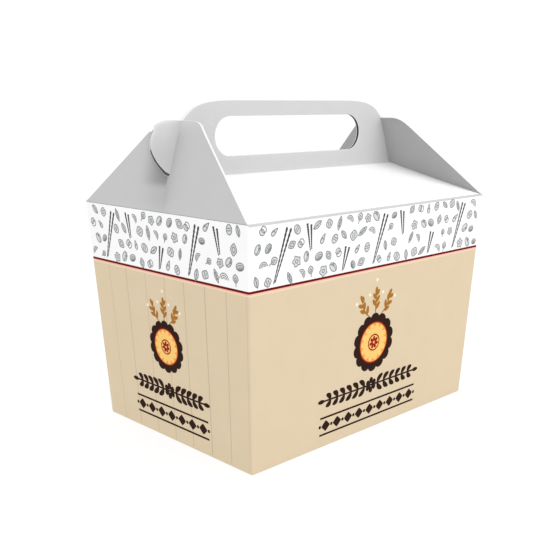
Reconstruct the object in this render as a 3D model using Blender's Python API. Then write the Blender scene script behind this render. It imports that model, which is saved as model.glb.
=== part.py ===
"""Gable-top carry box for takeaway noodles, folded from one sheet of board and shut.

Metres, +Z up. The origin is the middle of the flat bottom. The long front wall faces -Y and the
end walls face -X and +X. The four walls widen a little towards the top. A low two-slope roof closes
the box, and the upright carrying handle stands on its ridge. A flap rises from the top edge of each
end wall and leans in against the roof's end and the handle's end. The box can't be seen into, so it
is one solid.
"""

import math

import bmesh
import bpy
from mathutils import Matrix, Vector

# Walls
TOP_LENGTH = 0.210
TOP_WIDTH = 0.1485
FOOT_LENGTH = 0.194
FOOT_WIDTH = 0.1345
WALL_HEIGHT = 0.1365
FOLD_RADIUS = 0.0008
FOLD_SEGMENTS = 2

# Roof and handle
RIDGE_HEIGHT = 0.1550
HANDLE_TOP = 0.1973
HANDLE_THICKNESS = 0.0024
HANDLE_ROOT = 0.0060
SHOULDER_START = 0.0480
SHOULDER_FOOT = 0.1859
SHOULDER_TOP_PULL = 0.0280
SHOULDER_FOOT_PULL = 0.0100
SHOULDER_FOOT_SLOPE = math.radians(46)
SHOULDER_STEPS = 16
HOLE_BOTTOM = 0.1650
HOLE_TOP = 0.1881
HOLE_HALF_LENGTH = 0.0636
HOLE_END_STEPS = 16

# End flaps: each is a triangle standing on the wall's top edge, cut off flat near its point
FLAP_THICKNESS = 0.0016
FLAP_LEAN = math.radians(18.0)
FLAP_POINT_SLANT = 0.0684
FLAP_TOP_SLANT = 0.0526
FLAP_CORNER_RADIUS = 0.0150
FLAP_CORNER_STEPS = 8
HANDLE_INTO_FLAP = 0.0008

# Half-moon tab cut in the back half of each flap and creased along the flap's middle line. Its
# curved edge is a cubic curve, whose four control points are each (slant, distance from the crease)
TAB_FOOT_SLANT = 0.0206
TAB_TOP_SLANT = 0.0460
TAB_CURVE = ((TAB_FOOT_SLANT, 0.0), (0.0240, 0.0090), (0.0345, 0.0262), (TAB_TOP_SLANT, 0.0214))
TAB_STEPS = 16
TAB_SLIT = 0.0006
TAB_LIFT = math.radians(3.5)

BOARD_COLOR = (0.86, 0.84, 0.80, 1.0)


def clear_scene():
    for found in list(bpy.data.objects):
        bpy.data.objects.remove(found, do_unlink=True)


def board_material():
    """Matt, lightly coated board."""
    material = bpy.data.materials.new("printed_board")
    material.use_nodes = True
    shader = material.node_tree.nodes["Principled BSDF"]
    shader.inputs["Base Color"].default_value = BOARD_COLOR
    shader.inputs["Roughness"].default_value = 0.6
    shader.inputs["Metallic"].default_value = 0.0
    return material


def object_from(name, mesh_maker):
    """A new object in the scene from a bmesh."""
    bmesh.ops.recalc_face_normals(mesh_maker, faces=mesh_maker.faces)
    mesh = bpy.data.meshes.new(name)
    mesh_maker.to_mesh(mesh)
    mesh_maker.free()
    made = bpy.data.objects.new(name, mesh)
    bpy.context.scene.collection.objects.link(made)
    return made


def plate(name, outline, thickness_vector):
    """A closed plate: the outline's points, swept along the thickness vector."""
    work = bmesh.new()
    face = work.faces.new([work.verts.new(point) for point in outline])
    swept = bmesh.ops.extrude_face_region(work, geom=[face])
    moved = [item for item in swept["geom"] if isinstance(item, bmesh.types.BMVert)]
    bmesh.ops.translate(work, verts=moved, vec=thickness_vector)
    bmesh.ops.triangulate(work, faces=work.faces[:])
    return object_from(name, work)


def flap_point(side, slant, across, depth=0.0):
    """A place on a flap: slant is the way up its face from the fold, depth is into the board."""
    out = TOP_LENGTH / 2 - slant * math.sin(FLAP_LEAN) - depth * math.cos(FLAP_LEAN)
    up = WALL_HEIGHT + slant * math.cos(FLAP_LEAN) - depth * math.sin(FLAP_LEAN)
    return Vector((side * out, across, up))


def flap_half_width(slant):
    """Half the flap's width at a slant: its sides run straight from the fold's ends to one point."""
    return (TOP_WIDTH / 2 - FOLD_RADIUS) * (1 - slant / FLAP_POINT_SLANT)


def end_plane_reach(height, depth):
    """How far from the middle a flap's surface, depth into its board, is at a height."""
    lean = math.tan(FLAP_LEAN)
    return TOP_LENGTH / 2 - (height - WALL_HEIGHT) * lean - depth / math.cos(FLAP_LEAN)


def closed_box():
    """The four walls, the bottom and the two-slope roof, with the folds rounded."""
    work = bmesh.new()
    roof_end = end_plane_reach(WALL_HEIGHT, FLAP_THICKNESS / 2)
    ridge_end = end_plane_reach(RIDGE_HEIGHT, FLAP_THICKNESS / 2)

    def ring(length, width, height):
        corners = ((-1, -1), (1, -1), (1, 1), (-1, 1))
        return [work.verts.new((x * length / 2, y * width / 2, height)) for x, y in corners]

    foot = ring(FOOT_LENGTH, FOOT_WIDTH, 0.0)
    top = ring(TOP_LENGTH, TOP_WIDTH, WALL_HEIGHT)
    eaves = ring(2 * roof_end, TOP_WIDTH, WALL_HEIGHT)
    ridge = [work.verts.new((x * ridge_end, 0.0, RIDGE_HEIGHT)) for x in (-1, 1)]
    work.faces.new(foot[::-1])
    for near, far in ((1, 0), (2, 1), (3, 2), (0, 3)):
        wall = [foot[far], foot[near], top[near]]
        if near in (1, 3):
            wall += [eaves[near], eaves[far]]
        work.faces.new(wall + [top[far]])
    for left, right, end in ((top[3], top[0], 0), (top[1], top[2], 1)):
        inner = (eaves[0], eaves[3]) if end == 0 else (eaves[2], eaves[1])
        work.faces.new((left, right) + inner)
        work.faces.new(inner[::-1] + (ridge[end],))
    work.faces.new((eaves[0], eaves[1], ridge[1], ridge[0]))
    work.faces.new((eaves[2], eaves[3], ridge[0], ridge[1]))
    bmesh.ops.recalc_face_normals(work, faces=work.faces)

    def is_fold(edge):
        low, high = sorted(edge.verts, key=lambda vert: vert.co.z)
        upright = high.co.z - low.co.z > WALL_HEIGHT / 2
        on_floor = high.co.z == 0.0
        return upright or on_floor

    folds = [edge for edge in work.edges if is_fold(edge)]
    bmesh.ops.bevel(
        work, geom=folds, offset=FOLD_RADIUS, segments=FOLD_SEGMENTS, profile=0.5, affect="EDGES"
    )
    return object_from("closed_box", work)


def cubic_curve(controls, steps):
    """Points along the cubic Bezier curve of four control points."""
    start, pull_out, pull_in, end = (Vector(point) for point in controls)
    points = []
    for step in range(steps + 1):
        part = step / steps
        rest = 1 - part
        bent = 3 * rest * part * (rest * pull_out + part * pull_in)
        points.append(rest**3 * start + bent + part**3 * end)
    return [tuple(point) for point in points]


def handle_outline():
    """The handle's outer edge: a flat top, rounded shoulders, and sides along the flaps."""
    root = RIDGE_HEIGHT - HANDLE_ROOT
    into_flap = FLAP_THICKNESS - HANDLE_INTO_FLAP
    foot_reach = end_plane_reach(SHOULDER_FOOT, into_flap)
    foot_pull_x = SHOULDER_FOOT_PULL * math.cos(SHOULDER_FOOT_SLOPE)
    foot_pull_z = SHOULDER_FOOT_PULL * math.sin(SHOULDER_FOOT_SLOPE)
    shoulder = (
        (foot_reach, SHOULDER_FOOT),
        (foot_reach - foot_pull_x, SHOULDER_FOOT + foot_pull_z),
        (SHOULDER_START + SHOULDER_TOP_PULL, HANDLE_TOP),
        (SHOULDER_START, HANDLE_TOP),
    )
    half = [(end_plane_reach(root, into_flap), root)] + cubic_curve(shoulder, SHOULDER_STEPS)
    mirrored = [(-x, z) for x, z in reversed(half)]
    return [Vector((x, -HANDLE_THICKNESS / 2, z)) for x, z in half + mirrored]


def hole_outline():
    """The hand hole: straight above and below, half a circle at each end."""
    radius = (HOLE_TOP - HOLE_BOTTOM) / 2
    centre_height = (HOLE_TOP + HOLE_BOTTOM) / 2
    centre = HOLE_HALF_LENGTH - radius
    points = []
    for side in (1, -1):
        for step in range(HOLE_END_STEPS + 1):
            turn = math.pi * step / HOLE_END_STEPS - math.pi / 2
            x = side * (centre + radius * math.cos(turn))
            z = centre_height + side * radius * math.sin(turn)
            points.append(Vector((x, -HANDLE_THICKNESS, z)))
    return points


def carrying_handle():
    """Two boards back to back, standing on the ridge, with the hand hole cut through both."""
    handle = plate("handle", handle_outline(), Vector((0.0, HANDLE_THICKNESS, 0.0)))
    cutter = plate("hand_hole", hole_outline(), Vector((0.0, 2 * HANDLE_THICKNESS, 0.0)))
    combine(handle, [cutter], "DIFFERENCE")
    return handle


def corner_arc(toward):
    """Points of a flap's rounded top corner, from its slanting side to its flat top.

    The circle touches the side and the top line, so its centre is one radius below the top and one
    radius in from the side. toward is the side of the flap, -1 or 1 along Y.
    """
    side_angle = math.atan2(TOP_WIDTH / 2 - FOLD_RADIUS, FLAP_POINT_SLANT)
    radius = FLAP_CORNER_RADIUS
    centre_slant = FLAP_TOP_SLANT - radius
    centre_across = flap_half_width(centre_slant) - radius / math.cos(side_angle)
    points = []
    for step in range(FLAP_CORNER_STEPS + 1):
        turn = side_angle + (math.pi / 2 - side_angle) * step / FLAP_CORNER_STEPS
        slant = centre_slant + radius * math.sin(turn)
        across = centre_across + radius * math.cos(turn)
        points.append((slant, toward * across))
    return points


def tab_edge(inset):
    """The tab's curved free edge, from its foot on the middle crease up to the flap's back side.

    inset moves it towards the crease, to leave the slit open.
    """
    curve = cubic_curve(TAB_CURVE, TAB_STEPS)
    return [(slant, max(across - inset, 0.0)) for slant, across in curve]


def end_flap(side):
    """The flap on one end wall, without its half-moon tab."""
    fold_half = flap_half_width(0.0)
    front_arc = corner_arc(-1)
    outline = [(0.0, -fold_half)] + front_arc + [(FLAP_TOP_SLANT, 0.0)]
    outline += tab_edge(0.0)
    outline.append((TAB_TOP_SLANT, flap_half_width(TAB_TOP_SLANT)))
    outline.append((0.0, fold_half))
    inward = flap_point(side, 0.0, 0.0, FLAP_THICKNESS) - flap_point(side, 0.0, 0.0)
    points = [flap_point(side, slant, across) for slant, across in outline]
    return plate(f"flap_{side}", points, inward)


def half_moon_tab(side):
    """The tab: the flap's own top back corner, pushed out a little along its curved edge."""
    edge = tab_edge(TAB_SLIT)
    top_corner = [point for point in corner_arc(1) if point[0] > TAB_TOP_SLANT]
    outline = [(FLAP_TOP_SLANT, -TAB_SLIT), (TAB_FOOT_SLANT, -TAB_SLIT)]
    outline += edge + top_corner
    hinge = flap_point(side, TAB_FOOT_SLANT, 0.0, FLAP_THICKNESS / 2)
    crease = flap_point(side, FLAP_TOP_SLANT, 0.0) - flap_point(side, TAB_FOOT_SLANT, 0.0)
    lift = Matrix.Translation(hinge) @ Matrix.Rotation(side * -TAB_LIFT, 4, crease)
    lift = lift @ Matrix.Translation(-hinge)
    inward = flap_point(side, 0.0, 0.0, FLAP_THICKNESS) - flap_point(side, 0.0, 0.0)
    points = [flap_point(side, slant, across) for slant, across in outline]
    tab = plate(f"tab_{side}", points, inward)
    tab.data.transform(lift)
    return tab


def combine(target, others, operation):
    """Applies one Boolean of the other objects to the target, and removes them."""
    group = bpy.data.collections.new("to_combine")
    bpy.context.scene.collection.children.link(group)
    for other in others:
        bpy.context.scene.collection.objects.unlink(other)
        group.objects.link(other)
    boolean = target.modifiers.new("combine", "BOOLEAN")
    boolean.operation = operation
    boolean.operand_type = "COLLECTION"
    boolean.collection = group
    boolean.solver = "EXACT"
    bpy.context.view_layer.update()
    evaluated = target.evaluated_get(bpy.context.evaluated_depsgraph_get())
    result = bpy.data.meshes.new_from_object(evaluated)
    target.modifiers.clear()
    target.data = result
    for other in others:
        bpy.data.objects.remove(other, do_unlink=True)
    bpy.data.collections.remove(group)


def main():
    clear_scene()
    carton = closed_box()
    others = [carrying_handle()]
    for side in (-1, 1):
        others += [end_flap(side), half_moon_tab(side)]
    combine(carton, others, "UNION")
    carton.name = "carton"
    carton.data.name = "carton"
    carton.data.materials.clear()
    carton.data.materials.append(board_material())


main()
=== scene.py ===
# %% [markdown]
# # A takeaway noodle box, folded from one sheet of board
#
# The box is a gable-top carton: four walls that widen a little towards the top, a low two-slope roof,
# an upright handle on the ridge, and a flap at each end that leans in against the handle. The packed
# model is loaded first. It holds the right sizes as one plain solid, and every piece below is made in
# the same metres, on the same floor, so nothing has to be fitted afterwards.

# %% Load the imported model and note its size
import math

import bmesh
import bpy
import numpy as np
from mathutils import Matrix, Vector


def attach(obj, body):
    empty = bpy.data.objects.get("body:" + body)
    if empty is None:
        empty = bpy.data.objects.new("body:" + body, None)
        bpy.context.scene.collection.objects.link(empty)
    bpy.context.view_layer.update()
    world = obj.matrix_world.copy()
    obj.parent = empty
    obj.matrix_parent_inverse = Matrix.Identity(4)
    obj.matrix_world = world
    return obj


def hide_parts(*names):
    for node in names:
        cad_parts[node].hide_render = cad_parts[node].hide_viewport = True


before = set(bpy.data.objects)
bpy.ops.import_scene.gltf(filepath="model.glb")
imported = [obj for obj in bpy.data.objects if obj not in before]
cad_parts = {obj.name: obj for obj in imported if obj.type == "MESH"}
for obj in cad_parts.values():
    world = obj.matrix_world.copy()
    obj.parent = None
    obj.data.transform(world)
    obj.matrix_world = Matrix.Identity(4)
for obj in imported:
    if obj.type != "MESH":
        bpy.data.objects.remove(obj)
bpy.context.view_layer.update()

# %% [markdown]
# ## The camera
#
# The view is three-quarter: both a long wall and an end wall show. The camera stands a little above
# the lid and looks slightly down. Its place can be found by eye, or by fitting a pinhole camera to the
# corners of the box. The second way was used here, so it is written as three angles, a place and a lens.

# %% Place the camera
VIEW_AZIMUTH, VIEW_ELEVATION, VIEW_ROLL = np.radians((-43.975, 11.5025, -0.1447))
CAMERA_PLACE = (-0.37632, -0.37464, 0.19416)
LENS_MM, SENSOR_MM = 54.568, 36.0


def camera_turn(azimuth, elevation, roll):
    """Columns right, up and back of a camera that looks along +Y at azimuth 0, as a 3 x 3 matrix."""
    right = np.array((math.cos(azimuth), math.sin(azimuth), 0.0))
    level = math.cos(elevation)
    back = np.array((math.sin(azimuth) * level, -math.cos(azimuth) * level, math.sin(elevation)))
    up = np.cross(back, right)
    rolled_right = math.cos(roll) * right + math.sin(roll) * up
    rolled_up = math.cos(roll) * up - math.sin(roll) * right
    return np.stack((rolled_right, rolled_up, back), axis=1)


camera = bpy.data.objects.new("view", bpy.data.cameras.new("view"))
camera.data.lens = LENS_MM
camera.data.sensor_width = SENSOR_MM
turn = Matrix(camera_turn(VIEW_AZIMUTH, VIEW_ELEVATION, VIEW_ROLL).tolist())
camera.matrix_world = Matrix.Translation(CAMERA_PLACE) @ turn.to_4x4()
bpy.context.scene.collection.objects.link(camera)
bpy.context.scene.camera = camera
print("camera", CAMERA_PLACE, "lens", LENS_MM)

# %% [markdown]
# ## Sizes of the carton
#
# A carton is drawn by its maker as flat panels, so a few numbers fix all of it: the half sizes at the
# top and foot of the walls, the heights of the folds, and the thickness of the board. All pieces read
# these numbers. The skin is drawn in a hair from the solid, to leave room for the ink on top.

# %% Carton sizes, in metres
TOP_HALF = np.array((0.1050, 0.07425))
FOOT_HALF = np.array((0.0970, 0.06725))
WALL_HEIGHT = 0.1365
RIDGE_HEIGHT = 0.1550
SKIN = 0.00008
CORNER_RADIUS = 0.0009
WALL_SWELL = 0.00022

HANDLE_TOP = 0.1973
HANDLE_HALF_THICKNESS = 0.0012
HANDLE_ROOT = 0.1490
HOLE_MIDDLE = 0.17655
HOLE_RADIUS = 0.01155
HOLE_HALF_LENGTH = 0.0636

FLAP_THICKNESS = 0.0016
FLAP_LEAN = math.radians(18.0)
FLAP_POINT = 0.0680
FLAP_TOP = 0.0526
FLAP_CORNER = 0.0150
FLAP_HALF = TOP_HALF[1] - 0.0002
TAB_FOOT = 0.0206
TAB_TOP = 0.0455


def wall_half(height):
    """Half length and half width of the walls at a height: a straight line from foot to top."""
    share = np.asarray(height, float)[..., None] / WALL_HEIGHT
    return FOOT_HALF + (TOP_HALF - FOOT_HALF) * share - SKIN


print("walls at the red line", np.round(wall_half(0.102), 4))

# %% [markdown]
# ## From arrays to meshes
#
# Almost every part of a carton is a strip or a tube: a closed loop of points, carried along a path.
# A grid of points with rows and columns holds such a shape, and neighbouring rows are joined with
# quads. Writing the grid with numpy keeps the loops out of Python, and one helper turns it into a mesh.
# Two more give directions: one brings vectors to length 1, one turns them by a right angle.

# %% Helpers that turn a grid of points into a mesh
WELD, SLIVER, TINY = 2e-7, 1e-7, 1e-9


def grid_quads(rows, columns, close_rows=False):
    """Index quads of a rows x columns grid. Columns always wrap round; rows wrap if asked to."""
    row = np.arange(rows if close_rows else rows - 1)[:, None]
    column = np.arange(columns)[None, :]
    across = (column + 1) % columns
    below = (row + 1) % rows
    corners = (row * columns + column, row * columns + across)
    corners += (below * columns + across, below * columns + column)
    return np.stack(corners, axis=-1).reshape(-1, 4)


def put_mesh(name, points, faces, materials, face_slots, smooth_angle=30.0, painted_shading=None):
    """A piece at the origin: its points welded, its faces turned outwards, its folds kept sharp.

    painted_shading is the painted shade at each point, and painted light where it is below 0: the share of
    brightness the finish takes off.
    """
    mesh = bpy.data.meshes.new(name)
    mesh.from_pydata(np.asarray(points).reshape(-1, 3).tolist(), [], faces)
    if painted_shading is not None:
        layer = mesh.attributes.new("painted_shading", "FLOAT", "POINT")
        layer.data.foreach_set("value", np.asarray(painted_shading, np.float32).ravel())
    for material in materials:
        mesh.materials.append(material)
    mesh.polygons.foreach_set("material_index", np.asarray(face_slots, np.int32))
    work = bmesh.new()
    work.from_mesh(mesh)
    bmesh.ops.remove_doubles(work, verts=work.verts, dist=WELD)
    bmesh.ops.dissolve_degenerate(work, edges=work.edges, dist=SLIVER)
    bmesh.ops.recalc_face_normals(work, faces=work.faces)
    open_edges = sum(1 for edge in work.edges if len(edge.link_faces) != 2)
    work.to_mesh(mesh)
    work.free()
    mesh.shade_smooth()
    mesh.set_sharp_from_angle(angle=math.radians(smooth_angle))
    piece = bpy.data.objects.new(name, mesh)
    bpy.context.scene.collection.objects.link(piece)
    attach(piece, "root")
    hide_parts("carton")
    print(name, len(mesh.polygons), "faces,", open_edges, "open edges")


def tube(points, close_rows=False):
    """Faces of loops joined one to the next, with the two end loops filled unless the tube closes."""
    rows, columns = points.shape[:2]
    faces = grid_quads(rows, columns, close_rows).tolist()
    if not close_rows:
        faces.append(list(range(columns)))
        faces.append(list(range((rows - 1) * columns, rows * columns)))
    return faces


def tubes(points, first=0):
    """Faces of count x rows x columns places: many tubes of one size, numbered from the first on."""
    step = points.shape[1] * points.shape[2]
    one = tube(points[0])
    starts = range(first, first + len(points) * step, step)
    return [[index + start for index in face] for start in starts for face in one]


def unit_vectors(vectors):
    """Vectors brought to length 1."""
    return vectors / np.maximum(np.linalg.norm(vectors, axis=-1, keepdims=True), TINY)


def left_of(run):
    """Flat directions turned to the left by a right angle."""
    return np.stack((-run[..., 1], run[..., 0]), axis=-1)


print("a tube of 3 loops of 4 points has", len(tube(np.zeros((3, 4, 3)))), "faces")


# %% [markdown]
# ## Finishes
#
# Folding board is white pulp pressed in layers, with a matt clay coat that takes the ink. Close to,
# it has a fine fibre grain, and from further off a very low mottle. A plain colour would look like
# plastic, so one recipe gives every board finish both: a noise for the fibres, stretched along the
# sheet, and a slow noise that moves the colour by a few hundredths.

# %% One recipe for all board finishes
MOTTLE_SCALE, MOTTLE_RANGE = 70.0, (0.3, 0.7)
FIBRE_SCALE, GRAIN_RANGE = (700.0, 700.0, 2600.0), (0.35, 0.65)
GRAIN_SHARE, FIBRE_STRENGTH = 0.6, 0.6


def set_inputs(node, values):
    """Give a shader node's inputs their values."""
    for key, value in values.items():
        node.inputs[key].default_value = value


def new_node(tree, kind, inputs=None, **settings):
    """A shader node with the values of its inputs, given as a dict, and its settings."""
    node = tree.nodes.new(kind)
    for key, value in settings.items():
        setattr(node, key, value)
    set_inputs(node, inputs or {})
    return node


def tone_node(tree, noise_range, darkest):
    """A node that turns noise within a range into a tone from the darkest to 1."""
    low, high = noise_range
    ends = {"From Min": low, "From Max": high, "To Min": darkest, "To Max": 1.0}
    return new_node(tree, "ShaderNodeMapRange", ends)


def board_finish(name, color, roughness=0.62, mottle=0.025, fibre=0.00003, speckle=0.0, gloss=0.25):
    """Matt board: slow mottle in the colour, stretched fibres and pulp grain as a bump.

    The colour is multiplied by 1 - painted_shading, the painted shade and light that a piece may carry on
    its points.
    """
    material = bpy.data.materials.new(name)
    material.use_nodes = True
    tree = material.node_tree
    shader = tree.nodes["Principled BSDF"]
    set_inputs(shader, {"Roughness": roughness, "Specular IOR Level": gloss})
    place = new_node(tree, "ShaderNodeTexCoord")
    slow = new_node(tree, "ShaderNodeTexNoise", {"Scale": MOTTLE_SCALE, "Detail": 4.0})
    stretch = new_node(tree, "ShaderNodeMapping", {"Scale": FIBRE_SCALE})
    fine = new_node(tree, "ShaderNodeTexNoise", {"Scale": 1.0, "Detail": 5.0})
    tone = tone_node(tree, MOTTLE_RANGE, 1.0 - mottle)
    grain = tone_node(tree, GRAIN_RANGE, 1.0 - GRAIN_SHARE * mottle - speckle)
    # The painted shade and light that a piece carries on its points, taken off the colour.
    painted_shading_node = new_node(tree, "ShaderNodeAttribute", attribute_name="painted_shading")
    kept = new_node(tree, "ShaderNodeMath", {0: 1.0}, operation="SUBTRACT")
    mottle_and_painted_shade = new_node(tree, "ShaderNodeMath", operation="MULTIPLY")
    both = new_node(tree, "ShaderNodeMath", operation="MULTIPLY")
    tint = new_node(tree, "ShaderNodeMix", data_type="RGBA", blend_type="MULTIPLY")
    set_inputs(tint, {"Factor": 1.0, 6: (*color, 1.0)})
    bump = new_node(tree, "ShaderNodeBump", {"Strength": FIBRE_STRENGTH, "Distance": fibre})
    wires = (
        (place, "Object", slow, "Vector"),
        (place, "Object", stretch, "Vector"),
        (stretch, "Vector", fine, "Vector"),
        (slow, "Fac", tone, "Value"),
        (fine, "Fac", grain, "Value"),
        (painted_shading_node, "Fac", kept, 1),
        (tone, "Result", mottle_and_painted_shade, 0),
        (kept, "Value", mottle_and_painted_shade, 1),
        (mottle_and_painted_shade, "Value", both, 0),
        (grain, "Result", both, 1),
        (both, "Value", tint, 7),
        (tint, 2, shader, "Base Color"),
        (fine, "Fac", bump, "Height"),
        (bump, "Normal", shader, "Normal"),
    )
    for source, output, target, entry in wires:
        tree.links.new(source.outputs[output], target.inputs[entry])
    return material


WHITE = board_finish("white_coated_board", (0.90, 0.90, 0.90))
GREY = board_finish("pale_grey_print", (0.58, 0.58, 0.58))
FLAP_GREY = board_finish("flap_grey_print", (0.515, 0.515, 0.515))
# Dark grey painted shade for the cut edges along the crease and the slit.
PAINTED_CUT_SHADE = board_finish("painted_cut_shade_grey", (0.29, 0.29, 0.29), 0.75)
# A very dark board, painted as the shade deep in the handle's gap and in the flap's slit.
PAINTED_SHADE_BOARD = board_finish("painted_shade_board", (0.15, 0.15, 0.15), 0.9, 0.05, 0.00005, 0.04)
# The board's reverse is greyer, and this grey is darker still as painted shade on the flaps' inner faces.
GREY_REVERSE_AND_SHADE = board_finish("grey_reverse_and_painted_shade", (0.42, 0.42, 0.42), 0.8, 0.05, 0.00005, 0.04)
# Grey along the scored folds: partly the fold's crushed coat, partly painted shade in the fold.
FOLD_GREY_AND_SHADE = board_finish("scored_fold_and_painted_shade", (0.56, 0.56, 0.56), 0.75)
CUT = board_finish("cut_board_edge", (0.84, 0.84, 0.84), 0.85, 0.05, 0.00006, 0.05)
BEIGE = board_finish("beige_print", (0.670, 0.545, 0.372), 0.58)
BEIGE_LINE = board_finish("beige_line_print", (0.53, 0.43, 0.29), 0.58)
RED = board_finish("dark_red_print", (0.150, 0.006, 0.005), 0.7, gloss=0.04)
HALO = board_finish("peach_print_rim", (0.83, 0.46, 0.35), 0.58)
PALE_HALO = board_finish("pale_peach_rim", (0.82, 0.62, 0.46), 0.58)
LINE = board_finish("grey_line_print", (0.25, 0.258, 0.265), 0.6, gloss=0.1)
PALE_LINE = board_finish("pale_grey_fill_print", (0.64, 0.65, 0.66), 0.58)
REED_LINE = board_finish("dark_grey_line_print", (0.06, 0.062, 0.065), 0.6, gloss=0.1)
print("board finishes ready")

# %% [markdown]
# ## The walls
#
# The four walls are one loop of board, so they are one closed loft: a rounded rectangle, carried from
# the foot to the top fold. Its rows lie exactly where the print changes, so the red line and the beige
# field have the straight, hard edges of offset print. The first rows turn in at the foot, round the
# panels of the bottom, and the last rows roll in at the scored fold.

# %% Loft the walls
RED_LOW, RED_HIGH = 0.1011, 0.10245
HALO_LOW, PALE_LOW = 0.1004, 0.0996
SCORE_LOW = 0.1354
SIDE_STEPS, CORNER_STEPS = 28, 6


def rounded_outline():
    """A rounded rectangle as two arrays: where each point's circle stands (-1 to 1) and its ray."""
    quarter = np.linspace(0.0, math.pi / 2, CORNER_STEPS)
    along = np.linspace(-1.0, 1.0, SIDE_STEPS)[1:-1]
    centres, rays = [], []
    for turn, (x, y) in enumerate(((1, -1), (1, 1), (-1, 1), (-1, -1))):
        angle = quarter + math.pi / 2 * (turn - 1)
        centres.append(np.tile((x, y), (CORNER_STEPS, 1)))
        rays.append(np.stack((np.cos(angle), np.sin(angle)), axis=1))
        ray = rays[-1][-1].round()
        centres.append(ray + along[:, None] * left_of(ray))
        rays.append(np.tile(ray, (len(along), 1)))
    return np.concatenate(centres), np.concatenate(rays)


def swell(across, height):
    """How far a filled wall bows out: 1 - across^2 times half a sine wave of the height."""
    return WALL_SWELL * (1.0 - across**2) * np.sin(math.pi * height / WALL_HEIGHT)


def wall_loops(heights, insets):
    """The rounded rectangle at each height, drawn in by each inset."""
    centres, rays = rounded_outline()
    half = wall_half(heights)[:, None, :] - insets[:, None, None]
    flat = centres * (half - CORNER_RADIUS) + rays * CORNER_RADIUS
    across = np.where(np.abs(rays[:, 0]) > 0.5, centres[:, 1], centres[:, 0])
    flat = flat + rays * swell(across, heights[:, None])[..., None]
    upright = np.broadcast_to(heights[:, None, None], flat.shape[:2] + (1,))
    return np.concatenate((flat, upright), axis=-1)


FOOT_ROLL = [(0.0012, 0.0012), (0.00015, 0.0010), (0.0, 0.00070)]
FOOT_ROLL += [(0.00012, 0.00030), (0.00040, 0.00008), (0.0009, 0.0)]
TOP_ROLL = [(0.1361, 0.00005), (0.1363, 0.00012), (0.1365, 0.00036)]
beige_heights = np.linspace(0.006, 0.096, 11)
white_heights = (0.110, 0.118, 0.126, 0.133, SCORE_LOW)
plain_heights = (*beige_heights, PALE_LOW, HALO_LOW, RED_LOW, RED_HIGH, *white_heights)
wall_rows = np.array(FOOT_ROLL + [(height, 0.0) for height in plain_heights] + TOP_ROLL)
loops = wall_loops(wall_rows[:, 0], wall_rows[:, 1])
row_middle = (wall_rows[1:, 0] + wall_rows[:-1, 0]) / 2
print_edges = (PALE_LOW, HALO_LOW, RED_LOW, RED_HIGH, SCORE_LOW)
row_slot = np.searchsorted(print_edges, row_middle)
on_end = np.abs(rounded_outline()[1][:, 0]) > 0.5
WALL_FINISHES = [BEIGE, PALE_HALO, HALO, RED, WHITE, FOLD_GREY_AND_SHADE]
WHITE_SLOT, FOLD_SHADE_SLOT = 4, 5
# The fold row takes the fold's grey, partly painted shade, on the long walls; on the end walls it stays
# white.
face_slot = np.where((row_slot[:, None] == FOLD_SHADE_SLOT) & on_end, WHITE_SLOT, row_slot[:, None])
slots = np.concatenate((face_slot.ravel(), (0, FOLD_SHADE_SLOT)))
put_mesh("walls", loops, tube(loops), WALL_FINISHES, slots)

# %% [markdown]
# ## The roof
#
# Two flaps of the long walls fold in at the top and meet along the ridge. They could be two planes,
# but folded board always keeps a small round at the fold and a faint sag between folds. So the roof
# is one profile, from eave over ridge to eave, carried along the box. Its ends lean with the end flaps.

# %% Carry the roof's profile along the box


def end_reach(height, depth=0.0):
    """Distance from the middle to a leaning end flap's surface, depth into its board.

    It falls by the height above the fold times the tangent of the lean.
    """
    return TOP_HALF[0] - (height - WALL_HEIGHT) * math.tan(FLAP_LEAN) - depth / math.cos(FLAP_LEAN)


EAVE = TOP_HALF[1] - SKIN
SCORE_WIDTH, ROOF_SAG = 0.0011, 0.0004
EAVE_INSET, ROOF_SINK = 0.0004, 0.0001
EAVE_TUCK = np.array(((0.0010, -0.0009), (0.0006, -0.0006)))
SLOPE_STEPS, ROOF_STEPS = 16, 33
SCORED_COLUMNS = [1, 2, -4, -3]
share = np.concatenate(([0.0, SCORE_WIDTH / EAVE], np.linspace(0.05, 1.0, SLOPE_STEPS)))
slope_y = -(EAVE - EAVE_INSET) * (1.0 - share)
slope_z = WALL_HEIGHT - ROOF_SINK + (RIDGE_HEIGHT - WALL_HEIGHT) * share
slope_z -= ROOF_SAG * np.sin(math.pi * share)
eave_y, eave_z = (EAVE_TUCK + (-EAVE, WALL_HEIGHT)).T
half_y, half_z = np.concatenate((eave_y, slope_y)), np.concatenate((eave_z, slope_z))
roof_y = np.concatenate((half_y, -half_y[-2::-1]))
roof_z = np.concatenate((half_z, half_z[-2::-1]))
roof_share = np.linspace(-1.0, 1.0, ROOF_STEPS)[:, None]
roof_x = roof_share * end_reach(roof_z, FLAP_THICKNESS / 2)
roof_loops = np.stack(np.broadcast_arrays(roof_x, roof_y, roof_z), axis=-1)
column_slot = np.zeros(len(roof_y), int)
# The scored columns at the eaves take the fold's grey, partly painted shade.
column_slot[SCORED_COLUMNS] = 1
slots = np.concatenate((np.tile(column_slot, len(roof_x) - 1), (0, 0)))
put_mesh("roof", roof_loops, tube(roof_loops), [WHITE, FOLD_GREY_AND_SHADE], slots)

# %% [markdown]
# ## The handle
#
# Above the ridge the same two flaps run on, back to back, as the handle. The hand hole is stamped
# through both. A Boolean would leave long thin faces here. Instead every point of the outer edge is
# joined to the nearest point of the hole, and a small profile with rounded edges and a gap between the
# two boards is carried once round that ring. The outer edge is glued nearly shut, and at the hole the
# boards stand apart. The handle is a closed ring, so nothing needs a cap.

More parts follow.
